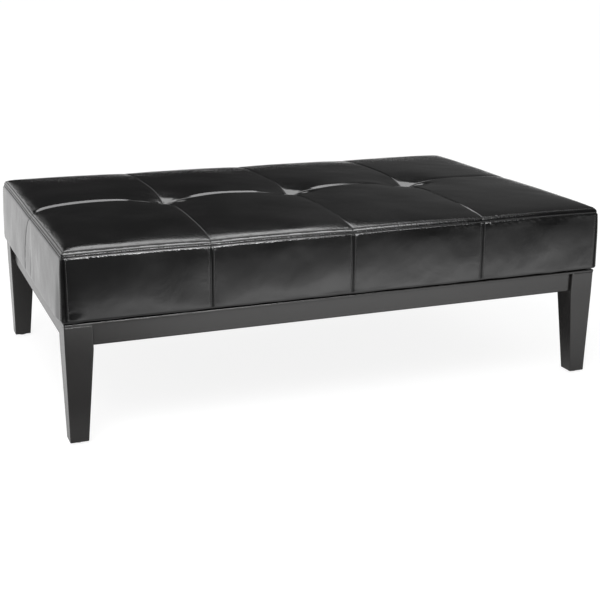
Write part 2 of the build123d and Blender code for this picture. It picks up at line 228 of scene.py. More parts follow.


# %% [markdown]
# ## Laying the floor
#
# The floor is one wide sheet. Light Path tells its material who is looking: the camera sees
# white paper, mirrors see the painted pool, band and shadow, and all else meets plain pale paper.

# %% Floor
floor_reach = 30.0
paper, shadow_paper, paper_glow = (0.8, 0.8, 0.8, 1), (0.25, 0.25, 0.25, 1), 0.86


def make_floor():
    """A wide floor: white with a faint shadow to the camera, pale to light, and in mirrors a glow with a
    painted pool, band and shadow.
    """
    mesh = bpy.data.meshes.new("floor")
    corners = [(-1, -1), (1, -1), (1, 1), (-1, 1)]
    mesh.from_pydata([(floor_reach * x, floor_reach * y, 0) for x, y in corners], [], [(0, 1, 2, 3)])
    floor = bpy.data.objects.new("floor", mesh)
    bpy.context.collection.objects.link(floor)
    material, graph, shader = new_finish("floor_paper")
    graph.set(shader, Base_Color=paper, Roughness=0.9, Specular_IOR_Level=0.0)
    path = graph.add("LightPath")
    white = graph.add("AddShader")
    graph.feed(white.inputs[0], graph.add("BsdfDiffuse", Color=shadow_paper).outputs[0])
    graph.feed(white.inputs[1], graph.add("Emission", Strength=paper_glow).outputs[0])
    mirrored = graph.add("Emission", Strength=mirrored_floor(graph))
    seen = graph.choose(path.outputs["Is Camera Ray"], shader.outputs[0], white.outputs[0])
    final = graph.choose(path.outputs["Is Glossy Ray"], seen, mirrored.outputs[0])
    graph.set(graph.nodes["Material Output"], Surface=final)
    mesh.materials.append(material)


make_floor()
print("floor", 2 * floor_reach, "m wide")

# %% [markdown]
# ## The room
#
# Black leather in a white room would look grey. So a dark sheet stands behind the table to
# the right, where the flat top mirrors it. The room is white only overhead and to the left,
# where the end of the cushion mirrors it, and a dim grey on the right. The camera itself sees
# white all round, and rough colours are lit by an even light.

# %% Room
room_light, room_white, room_dark, room_ceiling = 0.60, 1.1, 0.03, 2.0
dark_sheet_from = -1.5
left_wall_span = (-0.04, 0.05)
right_wall_span, right_wall_grey = (0.25, 0.60), (0.035, 0.145)
ceiling_span = (0.78, 0.93)


def mirrored_room(graph):
    """What mirrors see of the room: white to the left, grey to the right, dark between the two,
    and a white ceiling overhead. The strongest of the three counts."""
    toward = graph.add("TexCoord").outputs["Generated"]
    turn = math.radians(dark_sheet_from)
    left = graph.along(toward, (-math.cos(turn), math.sin(turn), 0))
    left = graph.spread(left, left_wall_span, (0.0, room_white))
    right = graph.spread(graph.along(toward, (1, 0, 0)), right_wall_span, right_wall_grey)
    ceiling = graph.spread(graph.along(toward, (0, 0, 1)), ceiling_span, (room_dark, room_ceiling))
    return graph.reckon("MAXIMUM", graph.reckon("MAXIMUM", left, right), ceiling)


def make_room():
    """The world: white to the camera, even on rough things, and parted in light and dark in mirrors."""
    world = bpy.data.worlds.new("room")
    bpy.context.scene.world = world
    world.use_nodes = True
    graph = Graph(world.node_tree)
    white = (1, 1, 1, 1)
    even = graph.set(graph.nodes["Background"], Color=white, Strength=room_light)
    plain = graph.add("Background", Color=white, Strength=1.0)
    parted = graph.add("Background", Color=white, Strength=mirrored_room(graph))
    path = graph.add("LightPath")
    lit = graph.choose(path.outputs["Is Glossy Ray"], even.outputs[0], parted.outputs[0])
    seen = graph.choose(path.outputs["Is Camera Ray"], lit, plain.outputs[0])
    graph.set(graph.nodes["World Output"], Surface=seen)


make_room()
print("room light", room_light)

# %% [markdown]
# ## The lamps
#
# Two large soft boxes hang above. The one behind the table draws the light along the front
# roll and the seams, and the one in front lights the sides. A narrow box stands low and far
# in front, and the edge of the wooden cap mirrors it as a fine line. These three are seen in
# gloss alone, so that black stays black. One plain lamp lights the rough colours.

# %% Soft boxes
def make_soft_box(name, at, aim, width, depth, radiance, mirrored=True):
    """A soft rectangular lamp of a given brightness: its power is brightness x pi x area. It is
    either seen in gloss alone or lights plain colours alone."""
    data = bpy.data.lights.new(name, "AREA")
    data.shape = "RECTANGLE"
    data.size, data.size_y = width, depth
    data.energy = radiance * math.pi * width * depth
    lamp = bpy.data.objects.new(name, data)
    lamp.visible_camera = False
    lamp.visible_diffuse, lamp.visible_glossy = not mirrored, mirrored
    lamp.location = at
    lamp.rotation_euler = (Vector(aim) - Vector(at)).to_track_quat("-Z", "Y").to_euler()
    bpy.context.collection.objects.link(lamp)


make_soft_box("box_behind", at=(0.28, 1.0, 2.2), aim=(0.28, 1.01, 0), width=1.76, depth=2.0,
              radiance=3.5)
make_soft_box("box_in_front", at=(0.3, -1.9, 2.3), aim=(0.1, -0.3, 0.4), width=2.2, depth=1.1,
              radiance=14.0)
make_soft_box("low_box", at=(0.26, -3.0, 1.0), aim=(0.0, -0.4, 0.27), width=1.1, depth=0.45,
              radiance=36.0)
make_soft_box("plain_light", at=(-1.2, -1.6, 2.6), aim=(0, 0, 0.3), width=1.6, depth=1.6,
              radiance=6.0, mirrored=False)

# %% [markdown]
# ## The cushion's measures
#
# The cushion is a box of leather panels: two rows of four on top, four along each side and
# two at each end. The outline of the edge seam and the height of the bottom are read from
# the solids. The rest are the small sizes that a maker chooses: how far the leather
# stands proud of a seam, where the seams run, how wide the sewn band along the edge is.

# %% Cushion measures, in metres
def box_of(prefix):
    """The box round all the solids whose names start alike."""
    boxes = [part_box(name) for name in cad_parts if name.startswith(prefix)]
    return np.min([b[0] for b in boxes], axis=0), np.max([b[1] for b in boxes], axis=0)


top_low, top_high = box_of("cover_top_")
side_low, side_high = box_of("cover_side_")
seam_lift, side_stand = 0.0065, 0.0075
seam_level = top_low[2] + seam_lift
base_level = side_low[2]
side_drop = seam_level - base_level
half_x, half_y = side_high[0] - side_stand, side_high[1] - side_stand
crown = top_high[2] - seam_level
corner = 0.0035
cross_seams = np.array([-0.325, 0.0, 0.325])
seam_reach = np.array([-0.0075, -0.0030, 0.0030])
seam_swing, swing_length = 0.034, 0.022
band_width, band_drop = 0.0042, 0.0048
stitch_gap, corner_gap = 0.0054, 0.0042
print("seam outline", half_x, half_y, "at", seam_level, "crown", crown)

# %% [markdown]
# ## Grid lines that crowd at the seams
#
# Leather is smooth between seams and sharp at them. So the grid's lines are close together
# near a seam and wide apart between: the spacing grows in proportion to the distance from
# the nearest seam, up to a limit.

# %% Grid lines
x_grading = (0.0007, 0.0036, 0.02)
y_grading = (0.0007, 0.0042, 0.03)
drop_grading = (0.0006, 0.0045, 0.03)
samples = 4001


def graded_lines(stops, fine, coarse, reach):
    """Places from the first stop to the last: the spacing grows from fine at each stop to
    coarse at the reach. Steps of equal count are read off the running sum of 1 / spacing."""
    lines = [np.array([stops[0]])]
    for a, b in zip(stops[:-1], stops[1:]):
        place = np.linspace(a, b, samples)
        gap = np.minimum(place - a, b - place)
        spacing = fine + (coarse - fine) * np.clip(gap / reach, 0, 1)
        counts = np.diff(place) / (0.5 * (spacing[1:] + spacing[:-1]))
        total = np.concatenate([[0], np.cumsum(counts)])
        steps = max(2, int(round(total[-1])))
        lines.append(np.interp(np.linspace(0, total[-1], steps + 1), total, place)[1:])
    return np.concatenate(lines)


x_lines = graded_lines([-half_x, -half_x + corner, *cross_seams, half_x - corner, half_x], *x_grading)
y_lines = graded_lines([-half_y, -half_y + corner, 0.0, half_y - corner, half_y], *y_grading)
print("grid", len(x_lines), "by", len(y_lines))

# %% [markdown]
# ## Four plain curves and an uneven surface
#
# Every fold of the cover is built from the same few curves: a bell, a slope that dies away,
# a growth that settles, and a soft step. Leather is also never quite even. A few cosine
# waves in random directions, added up, look like that, and a fixed seed gives the same
# leather each time.

# %% Curves
def bell(d, width):
    """A bell of height 1: exp(-(d / width)^2)."""
    return np.exp(-(d / width) ** 2)


def fall(d, size, length):
    """A slope that starts at a size and dies away: size * exp(-d / length)."""
    return size * np.exp(-d / length)


def settle(d, size, length):
    """A growth from 0 that settles at a size: size * (1 - exp(-d / length))."""
    return size * (1 - np.exp(-d / length))


def soft_clip(value):
    """A smooth step from 0 to 1: 3 v^2 - 2 v^3."""
    v = np.clip(value, 0, 1)
    return v * v * (3 - 2 * v)


def ripple(u, v, wavelength, seed, waves=14, stretch=1.0):
    """A smooth random field of about unit height: a sum of cosines of random direction, phase
    and nearly equal wavelength. A stretch above 1 draws it out along u."""
    rng = np.random.default_rng(seed)
    turn = rng.uniform(0, math.pi, waves)
    pace = 2 * math.pi / wavelength * rng.uniform(0.7, 1.4, waves)
    phase = rng.uniform(0, 2 * math.pi, waves)
    field = np.zeros(np.broadcast(u, v).shape)
    for t, p, f in zip(turn, pace, phase):
        field += np.cos(p * (np.cos(t) * u / stretch + np.sin(t) * v) + f)
    return field * math.sqrt(2 / waves)


print("a bell one width away:", bell(1.0, 1.0).round(3))

# %% [markdown]
# ## The cover's edge, seen from its end
#
# Walking inwards from the edge seam, the leather first climbs steeply over the sewn
# edges of the panels, bends at the stitched row, climbs over the roll of wadding, and then
# bends to a slow rise towards the middle. That walk is easiest to write as a slope. Its
# running sum is the height.

# %% The edge's profile
roll_slope, roll_length = 0.55, 0.0090
band_slope, band_bend = 0.65, 0.0009
front_slope, end_slope = (0.155, 0.100), (0.300, 0.055)
longest_way, way_samples = 0.7, 14001
inwards = np.linspace(0, longest_way, way_samples)


def edge_slope(d, share, length):
    """The slope at a distance in: a slow rise of the crown, the roll of wadding, and the sewn band.
    Each of the first two dies away as exp(-d / length), and the band ends softly at its row."""
    band = band_slope * 0.5 * (1 - np.tanh((d - band_width) / band_bend))
    return fall(d, share, length) + fall(d, roll_slope, roll_length) + band


def running_sum(share, length):
    """The height reached at each distance in, as a share of the height at the middle."""
    slope = edge_slope(inwards, share, length)
    height = np.concatenate([[0], np.cumsum(0.5 * (slope[1:] + slope[:-1]) * np.diff(inwards))])
    return height / np.interp(half_y, inwards, height)


risen_front, risen_end = running_sum(*front_slope), running_sum(*end_slope)


def rise_front(d):
    """The share of the crown that is reached at a distance in from the front or the back."""
    return np.interp(np.maximum(d, 0), inwards, risen_front)


def rise_end(d):
    """The share of the crown that is reached at a distance in from an end, where it is quicker."""
    return np.interp(np.maximum(d, 0), inwards, risen_end)


for rise in (rise_front, rise_end):
    print("rise at 5, 20 and 60 mm in:", (rise(np.array([0.005, 0.02, 0.06])) * crown * 1000).round(1))

# %% [markdown]
# ## Where the seams run
#
# Three seams cross the top and one runs down its middle. Hand-sewn seams are not quite
# straight: the cross seams stray by a few millimetres as they run forwards, and the middle
# seam swings forwards at the left end. The grid's close lines are moved along with them.

# %% The seams' lines
stray_width, swing_width = 0.05, 0.08


def swing(x):
    """How far forwards the middle seam lies: seam_swing at the left end, dying away inwards."""
    return fall(x + half_x, seam_swing, swing_length)


def forwards(y):
    """The square of the way from the middle to the front: 0 behind the middle, 1 at the front."""
    return np.clip(-y / half_y, 0, 1) ** 2


def middle_gap(x, y):
    """The distance from the middle seam."""
    return np.abs(y + swing(x))


def cross_walk(x, y):
    """The distances to the right of the three cross seams, which stray by seam_reach times
    the square of the way forwards."""
    return x[..., None] - cross_seams - seam_reach * forwards(y)[..., None]


def follow_seams(x, y):
    """Move the grid's lines a little sideways, so that the close ones run along the seams."""
    pull = np.sum(seam_reach * bell(x[..., None] - cross_seams, stray_width), axis=-1)
    return x + pull * forwards(y), y - swing(x) * bell(y, swing_width)


print("middle seam at the left end:", round(float(-swing(-half_x)), 4), "m from the middle")

# %% [markdown]
# ## The seams' dips
#
# Thread pulls the cover down along every seam. Each seam lies in a wide shallow dip, and at
# its bottom is a narrow groove. Where the middle seam is free of the tufts it opens into a
# rounder crease. At a cross seam one panel lies a hair higher than the other, because its
# sewn edge is folded under it.

# %% The seams' relief
cross_least, cross_more, cross_width = 0.0012, 0.0025, 0.065
crease_depth, crease_width, hollow = 0.0037, 0.0088, (0.0016, 0.045)
cross_groove, middle_groove, groove_width = 0.0006, 0.0007, 0.0012
cross_shoulder, middle_shoulder = (0.0005, 0.004), (0.0003, 0.005)
step_height, step_width, step_length = 0.00045, 0.0009, 0.012
cross_start, crease_start, groove_start, groove_least = 0.02, 0.014, 0.006, 0.2
end_margin, end_free = 0.002, 0.030
left_hold, left_free = 0.030, 0.085
right_hold, right_free = 0.035, 0.065
last_stretch = 0.35


def free_length(x):
    """Where the middle seam's crease is free to open, from 0 to 1: away from the ends and the
    tufts. Each tuft holds it for longer on its left, and the last stretch opens less."""
    free = soft_clip((half_x - np.abs(x) + end_margin) / end_free)
    for centre in cross_seams:
        before = soft_clip((centre - x - left_hold) / left_free)
        after = soft_clip((x - centre - right_hold) / right_free)
        free = free * np.where(x < centre, before, after)
    return free * np.where(x > cross_seams[2], last_stretch, 1.0)


def seam_relief(x, y, dx, dy):
    """The depth at the plain seams: wide dips, a narrow groove in each, and the panels' step. A
    cross seam's dip grows with the fifth power of the rise, so it is deep only on the flat top."""
    near = np.minimum(dx, dy)
    walk = cross_walk(x, y)
    across, side = np.min(np.abs(walk), axis=-1), middle_gap(x, y)
    dip = (cross_least + cross_more * rise_front(dy) ** 5) * np.exp(-across / cross_width)
    dip = dip * np.clip(dy / cross_start, 0, 1)
    crease = crease_depth * free_length(x) * bell(side, crease_width) + fall(side, *hollow)
    groove = cross_groove * bell(across, groove_width) + fall(across, *cross_shoulder)
    groove += middle_groove * bell(side, groove_width) + fall(side, *middle_shoulder)
    step = np.sum(np.tanh(walk / step_width) * np.exp(-np.abs(walk) / step_length), axis=-1)
    edge = np.clip(near / groove_start, groove_least, 1)
    return dip + crease * np.clip(near / crease_start, 0, 1) + (groove - step_height * step) * edge


whole_length = np.linspace(-half_x, half_x, samples)
print("the middle crease opens to", int(100 * free_length(whole_length).mean()), "% on average")

# %% [markdown]
# ## The tufts
#
# Where a cross seam meets the middle seam, a strap pulls four panels down together. That
# makes an oval funnel. The panels' corners stay full between the seams, one pinch leads out
# of the funnel to the right and a little forwards, and short folds run in from all round.

# %% The tufts' relief
funnel_depth, funnel_x, funnel_y, funnel_power = 0.0205, 0.057, 0.050, 1.35
swell_height, swell_ring, swell_width, swell_power = 0.0022, 0.030, 0.018, 0.8
pinch_depth, pinch_width, pinch_ring, pinch_length, pinch_turn = 0.0060, 0.0085, 0.038, 0.024, 0.55
folds, fold_stray, fold_reach, fold_depth = 9, 0.25, (0.014, 0.034), (0.0006, 0.0014)
fold_width, fold_widening, fold_start = 0.0022, 0.05, 0.005


def tuft_folds(r, turn, rng):
    """The short folds that run into a tuft, each with a random lie, reach and depth."""
    depth = np.zeros(r.shape)
    for fold in range(folds):
        lie = 2 * math.pi * fold / folds + rng.uniform(-fold_stray, fold_stray)
        off = r * np.abs(np.angle(np.exp(1j * (turn - lie))))
        reach, deep = rng.uniform(*fold_reach), rng.uniform(*fold_depth)
        narrow = bell(off, fold_width + fold_widening * r)
        depth += deep * narrow * bell(r, reach) * (1 - bell(r, fold_start))
    return depth


def tuft_relief(x, y):
    """The depth round the tufts: exp(-oval^1.35) for the funnel, less the full panel corners,
    with the pinch and the folds added."""
    depth = np.zeros(np.broadcast(x, y).shape)
    for number, centre in enumerate(cross_seams):
        u, v = x - centre, y
        r, turn = np.hypot(u, v), np.arctan2(v, u)
        oval = np.sqrt((u / funnel_x) ** 2 + (v / funnel_y) ** 2)
        depth += funnel_depth * np.exp(-oval ** funnel_power)
        full = bell(r - swell_ring, swell_width) * np.abs(np.sin(2 * turn)) ** swell_power
        depth -= swell_height * full
        along, aside = np.cos(turn + pinch_turn), r * np.abs(np.sin(turn + pinch_turn))
        pinch = bell(aside, pinch_width) * bell(r - pinch_ring, pinch_length) * (along > 0)
        depth += pinch_depth * pinch
        depth += tuft_folds(r, turn, np.random.default_rng(seed=40 + number))
    return depth


print("a tuft's depth:", round(1000 * float(tuft_relief(cross_seams[1:2], np.zeros(1))[0]), 1), "mm")

# %% [markdown]
# ## The gathered edge
#
# The thread along the edge pulls the leather into a small dip, and the dip drags faint lines
# inwards. Where the cover is looser, at the front's right part, the leather puckers. At the
# front left corner, where it was turned over, it is bunched.

# %% The edge's relief
row_depth, row_width = 0.0006, 0.0013
drag_height, drag_wave, drag_press = 0.00006, 0.045, 9.0
drag_place, drag_width = 0.006, 0.006
pucker_least, pucker_loose, pucker_wave, pucker_draw = 0.00005, 0.00028, 0.010, 0.7
pucker_place, pucker_width = 0.004, 0.009
loose_share, loose_from, loose_over = 0.6, 0.30, 0.15
bunch_height, bunch_wave, bunch_length, bunch_width = 0.00022, 0.006, 0.030, 0.010
gather_start, plain_back = 0.002, 0.05


def edge_relief(x, y, dx, dy):
    """The stitched row's dip inside the edge, and the drag lines and puckers that it pulls."""
    near, run = np.minimum(dx, dy), np.where(dx < dy, y, x)
    drag = drag_height * ripple(run, near * drag_press, drag_wave, seed=7)
    drag = drag * bell(near - drag_place, drag_width)
    loose = loose_share * np.clip((x - loose_from) / loose_over, 0, 1) * (y < 0)
    pucker = (pucker_least + pucker_loose * loose) * bell(near - pucker_place, pucker_width)
    pucker = pucker * ripple(run, near * pucker_draw, pucker_wave, seed=8)
    bunch = fall(x + half_x, bunch_height, bunch_length) * (y < 0) * bell(dy - pucker_place, bunch_width)
    pucker += bunch * ripple(x, y, bunch_wave, seed=9)
    shown = np.clip(near / gather_start, 0, 1) * (y < half_y - plain_back)
    return row_depth * bell(near - band_width, row_width) + (drag + pucker) * shown


print("the stitched row lies", 1000 * band_width, "mm in from the edge")

# %% [markdown]
# ## The top of the cover
#
# The top is one height over the edge seam's plane: the crown, less the dips at the seams,
# less the tufts, less the gathered edge. Two faint fields of waves keep the broad panels
# from looking machined.

# %% The top's height
least_rise = 1e-4
wave_tall, wave_long = 0.00025, 0.17
fine_tall, fine_long, fine_stretch = 0.00006, 0.05, 1.8
wave_start = 0.05


def crown_height(dx, dy):
    """The edge's profile from both directions, joined: (a^-4 + b^-4 - 1)^(-1/4) of the crown."""
    a, b = np.maximum(rise_end(dx), least_rise), np.maximum(rise_front(dy), least_rise)
    return crown * (a ** -4 + b ** -4 - 1) ** -0.25


def top_height(x, y):
    """The height over the edge seam's plane at a place in the flat panels' own plan."""
    dx, dy = half_x - np.abs(x), half_y - np.abs(y)
    tied = np.clip(np.minimum(dx, dy) / wave_start, 0, 1)
    waves = wave_tall * ripple(x, y, wave_long, seed=11)
    waves += fine_tall * ripple(x, y, fine_long, seed=12, stretch=fine_stretch)
    return (crown_height(dx, dy) - seam_relief(x, y, dx, dy) - tuft_relief(x, y)
            - edge_relief(x, y, dx, dy) + tied * waves)


panel_middle = np.array([0.16]), np.array([-0.2])
print("a front panel's middle stands", (1000 * top_height(*panel_middle)).round(1), "mm over the edge")

# %% [markdown]
# ## The plan's corners and the scalloped edge
#
# The plan is a rectangle with tightly rounded corners, so the grid is bent inside each
# corner's small square and nowhere else. Between two upright seams the edge itself also
# rises a little, like a scallop.

# %% The top's surface
scallop_height, scallop_length, scallop_power = 0.0020, 0.05, 0.8


def round_plan(x, y):
    """Bend the plan at the corners: in each corner's square, with a and b from 0 to 1,
    a becomes a * sqrt(1 - b^2 / 2) and b becomes b * sqrt(1 - a^2 / 2)."""
    a = np.clip((np.abs(x) - (half_x - corner)) / corner, 0, None)
    b = np.clip((np.abs(y) - (half_y - corner)) / corner, 0, None)
    shift_x = corner * (a * np.sqrt(1 - b * b / 2) - a)
    shift_y = corner * (b * np.sqrt(1 - a * a / 2) - b)
    return x + np.sign(x) * shift_x, y + np.sign(y) * shift_y


def arch(share):
    """An arch over each panel: (4 a (1 - a))^0.8, with a from 0 to 1 between two seams."""
    return (4 * share * (1 - share)) ** scallop_power


def scallop(x, y):
    """How much the edge seam rises between the upright seams, carried inwards and dying away."""
    seams = np.array([-half_x, *cross_seams, half_x])
    share_x = np.interp(x, seams, np.arange(len(seams))) % 1
    share_y = np.interp(y, [-half_y, 0.0, half_y], [0, 1, 2]) % 1
    along = arch(share_x) * fall(half_y - np.abs(y), scallop_height, scallop_length)
    return along + arch(share_y) * fall(half_x - np.abs(x), scallop_height, scallop_length)


def top_point(x, y):
    """The place in space of a point of the top."""
    px, py = round_plan(x, y)
    return np.stack([px, py, seam_level + top_height(x, y) + scallop(x, y)], axis=-1)


print("a front panel's middle lies at", top_point(*panel_middle)[0].round(4))

# %% [markdown]
# ## Walking round the outline
#
# The sides start where the top ends, so they take the rim of the top's grid as a loop. The
# distance walked round that loop is one of the sides' two parameters, and every upright
# seam has its place on it. The rim's outward normals are made a little longer on the
# corners, which keeps these nearly square.

# %% The outline
corner_shift = 0.0025
edge_near = 1e-9


def outline_points(xs, ys):
    """The grid's rim as a loop, anticlockwise from the front left corner: places, normals, rise.
    A normal is divided by (x^4 + y^4)^(1/4)."""
    x = np.concatenate([xs, np.full(len(ys) - 1, xs[-1]), xs[::-1][1:], np.full(len(ys) - 2, xs[0])])
    y = np.concatenate([np.full(len(xs), ys[0]), ys[1:], np.full(len(xs) - 1, ys[-1]), ys[::-1][1:-1]])
    x, y = follow_seams(x, y)
    px, py = round_plan(x, y)
    out_x = np.where(np.abs(x) >= half_x - edge_near, 1.0, 0.0) * np.sign(x)
    out_y = np.where(np.abs(y) >= half_y - edge_near, 1.0, 0.0) * np.sign(y)
    past_x, past_y = np.abs(px) - (half_x - corner), np.abs(py) - (half_y - corner)
    in_corner = (past_x > edge_near) & (past_y > edge_near)
    nx = np.where(in_corner, np.clip(past_x, 0, None) * np.sign(px), out_x)
    ny = np.where(in_corner, np.clip(past_y, 0, None) * np.sign(py), out_y)
    size = (nx ** 4 + ny ** 4) ** 0.25
    return np.stack([px, py], axis=-1), np.stack([nx / size, ny / size], axis=-1), scallop(x, y)


outline, outline_out, outline_puff = outline_points(x_lines, y_lines)
pace = np.linalg.norm(np.roll(outline, -1, axis=0) - outline, axis=1)
walked = np.concatenate([[0], np.cumsum(pace)[:-1]])
circuit = pace.sum()


def walk_to(px, py):
    """The distance walked to the outline's point nearest to a place."""
    return walked[np.argmin(np.hypot(outline[:, 0] - px, outline[:, 1] - py))]


def walk_gap(s, places):
    """The shortest walk from s to any of the places, round the loop."""
    gap = np.abs(s[..., None] - np.asarray(places))
    return np.min(np.minimum(gap, circuit - gap), axis=-1)


slant = corner * (1 - math.sqrt(0.5))
corner_seams = [walk_to(sx * (half_x - slant), sy * (half_y - slant)) + corner_shift * sx * sy
                for sx, sy in ((-1, -1), (1, -1), (1, 1), (-1, 1))]
long_seams = [walk_to(x, -half_y) for x in cross_seams + seam_reach]
long_seams += [walk_to(x, half_y) for x in cross_seams]
end_seams = [walk_to(half_x, 0.0), walk_to(-half_x, -seam_swing)]
sewn = np.sort(np.array(corner_seams + long_seams + end_seams))
print("walk round", round(circuit, 3), "m, upright seams at", sewn.round(3))

# %% [markdown]
# ## The upright seams
#
# The long sides and the corners have a seam with a stitched row on either side. The two
# ends have one plain seam each, a narrow groove. The left end's seam leans back as it
# comes down, as the photograph shows.

# %% The upright seams' relief
seam_groove, stitched_groove, groove_bell = 0.0005, 0.0003, 0.0012
stitched_dip, stitched_start = (0.0003, 0.005), 0.004
side_pucker, side_pucker_wave, side_pucker_press = 0.00004, 0.016, 1.5
side_pucker_gap, side_pucker_width = 0.009, 0.005
plain_groove, plain_bell, plain_dip, plain_start = 0.0012, 0.0016, (0.0006, 0.007), 0.003
lean_back, lean_width = (0.090, 0.045), 0.12


def seam_rows(s):
    """The walk to the nearest stitched seam, and how far from it its rows of stitches run."""
    corners, longs = walk_gap(s, corner_seams), walk_gap(s, long_seams)
    return np.minimum(corners, longs), np.where(corners < longs, corner_gap, stitch_gap)


def stitched_edges(s, drop):
    """The boxing near the stitched upright seams: a groove at the seam, a groove at each row, a
    dip that dies away beyond it, and fine puckers."""
    gap, row = seam_rows(s)
    out = -seam_groove * bell(gap, groove_bell) - stitched_groove * bell(gap - row, groove_bell)
    out -= fall(np.maximum(gap - row, 0), *stitched_dip)
    pucker = side_pucker * ripple(s * side_pucker_press, drop, side_pucker_wave, seed=22)
    out += pucker * bell(gap - side_pucker_gap, side_pucker_width)
    return np.clip(drop / stitched_start, 0, 1) * out


def lean(s, drop):
    """How far back the left end's seam has leant at a drop: it settles at 90 mm."""
    return settle(drop, *lean_back) * bell(s - end_seams[1], lean_width)


def end_seam_gap(s, drop):
    """The walk to the nearest plain seam, with the left end's seam straightened."""
    return walk_gap(s + lean(s, drop), end_seams)


def plain_edges(s, drop):
    """The boxing near the plain seams of the ends: one narrow groove in a soft dip."""
    gap = end_seam_gap(s, drop)
    depth = plain_groove * bell(gap, plain_bell) + fall(gap, *plain_dip)
    return -np.clip(drop / plain_start, 0, 1) * depth


print("the left end's seam leans back by", round(1000 * float(lean(end_seams[1], side_drop))), "mm")

# %% [markdown]
# ## The sides
#
# The drop below the edge seam is the sides' other parameter. At each place the leather
# stands out from the outline by a little: the sewn band turns over, the panel starts again
# under the stitched row, leans out, swells in its middle, and is drawn in where seams cross.
# At its foot the front left corner sags, and the left end folds in a little in front of its
# seam.

# %% The sides' surface
band_roll, band_groove, band_groove_width = (0.0014, 0.0028), 0.0010, 0.0010
panel_start, panel_roll = (0.0016, 0.0020), (0.0010, 0.018)
flare, end_flare, end_from, end_to = 0.0045, 0.0030, 0.03, 0.04
belly, belly_across, belly_up = 0.0016, 0.7, 0.8
draw_depth, draw_place, draw_width, draw_end = 0.0006, 0.008, 0.008, 0.014
gather_least, gather_right, gather_wave, gather_draw = 0.00005, 0.00018, 0.010, 0.7
gather_place, gather_width, right_from, right_over = 0.006, 0.007, 0.75, 0.35
calm_tall, calm_long, calm_press, calm_fine, calm_fine_long = 0.00026, 0.16, 1.3, 0.00004, 0.045
calm_top, calm_foot = 0.02, 0.1
sag_depth, sag_place, sag_width, sag_from, sag_over, sag_until = 0.0015, 0.018, 0.012, 0.07, 0.11, 0.5
fold_in, fold_place, fold_narrow, fold_up, fold_tall = 0.0012, 0.020, 0.011, 0.25, 0.25
puff_length = 0.05


def at_left_end(s):
    """1 on the left end of the cushion and 0 elsewhere, with soft ends."""
    return soft_clip((s - circuit + 2 * half_y) / end_from) * soft_clip((circuit - s) / end_to)


def panel_belly(s, t):
    """Each panel's swell: (4 a (1 - a))^0.7 across it and sin(pi t)^0.8 up it."""
    after = np.searchsorted(sewn, s, side="right")
    start = np.where(after == 0, sewn[-1] - circuit, sewn[(after - 1) % len(sewn)])
    end = np.where(after == len(sewn), sewn[0] + circuit, sewn[after % len(sewn)])
    share = (s - start) / (end - start)
    return belly * (4 * share * (1 - share)) ** belly_across * np.sin(np.pi * t) ** belly_up


def band_and_start(s, drop, below):
    """The band that turns over, its groove, the panel's start, and the draw beside long seams."""
    out = settle(drop, *band_roll) - band_groove * bell(drop - band_drop, band_groove_width)
    out += settle(below, *panel_start) + settle(below, *panel_roll)
    beside = bell(walk_gap(s, long_seams) - draw_place, draw_width) * np.clip(drop / band_drop, 0, 1)
    return out - draw_depth * beside * (1 - soft_clip(below / draw_end))


def side_waves(s, drop, below, t):
    """The gathers under the band, stronger at the front's right part, and calm wide waves below."""
    right_part = np.clip((s - right_from) / right_over, 0, 1) * (s < 2 * half_x)
    gathers = (gather_least + gather_right * right_part) * bell(drop - gather_place, gather_width)
    calm = np.clip(below / calm_top, 0, 1) * np.clip(t / calm_foot, 0, 1)
    waves = calm_tall * ripple(s, drop * calm_press, calm_long, seed=23)
    waves += calm_fine * ripple(s, drop, calm_fine_long, seed=24)
    return gathers * ripple(s, drop * gather_draw, gather_wave, seed=21) + calm * waves


def foot_folds(s, t):
    """The sag at the front left corner's foot and the fold in front of the left end's seam."""
    sag = bell(walk_gap(s, corner_seams[:1]) - sag_place, sag_width) * (s < sag_until)
    fold = bell(s - end_seams[1] - fold_place, fold_narrow) * bell(t - fold_up, fold_tall)
    return sag_depth * sag * (1 - soft_clip((t - sag_from) / sag_over)) - fold_in * fold


def side_out(s, drop):
    """How far the leather stands out from the outline, at a walk s and a drop below the seam. The
    height t runs from 0 at the foot to 1 at the seam."""
    t = np.clip(1 - drop / side_drop, 0, 1)
    below = np.maximum(drop - band_drop, 0)
    out = band_and_start(s, drop, below) + (flare + end_flare * at_left_end(s)) * (1 - t)
    out += panel_belly(s, t) + stitched_edges(s, drop) + plain_edges(s, drop)
    return out + side_waves(s, drop, below, t) + foot_folds(s, t)


def side_point(s, drop):
    """The place in space of a point of the sides: the outline, moved out along its normal and
    down by the drop, with the edge's scallop dying away."""
    s = s % circuit
    px, py = (np.interp(s, walked, outline[:, k], period=circuit) for k in (0, 1))
    nx, ny = (np.interp(s, walked, outline_out[:, k], period=circuit) for k in (0, 1))
    puff = fall(drop, 1.0, puff_length) * np.interp(s, walked, outline_puff, period=circuit)
    out = side_out(s, drop)
    return np.stack([px + nx * out, py + ny * out, seam_level - drop + puff], axis=-1)


half_way = side_out(np.array([walk_to(0.16, -half_y)]), np.array([side_drop / 2]))
print("a front panel's middle stands out", round(1000 * float(half_way[0]), 1), "mm")

# %% [markdown]
# ## Marks for the painted seam shade and the gathers
#
# Down in a seam the gloss is taken away, which paints the seam's shade as a dark line, and
# beside the thread the leather is finely dimpled. Both follow the seams, so they are worked
# out from the same distances and kept on the mesh as two numbers at each point, for the
# leather's nodes to read.

# %% Painted seam shade and gather
line_width, row_line_width, line_more = 0.0013, 0.0009, 0.0006
edge_line_width, foot_line_width = 0.0012, 0.0011
left_length, left_front, left_front_length = 0.03, 0.6, 0.010
middle_more, row_shade = 0.0026, 0.7
cross_shade, cross_shade_from, cross_shade_over = 0.15, 0.050, 0.020
strip_shade, strip_inset, strip_bend, upright_start = 0.45, 0.0010, 0.0008, 0.006
end_line_more, end_line_width = 0.0005, 0.0017
top_gather_place, top_gather_width = 0.0015, 0.0050
side_gather_width, upright_gather, upright_gather_width = 0.0060, 0.5, 0.0035


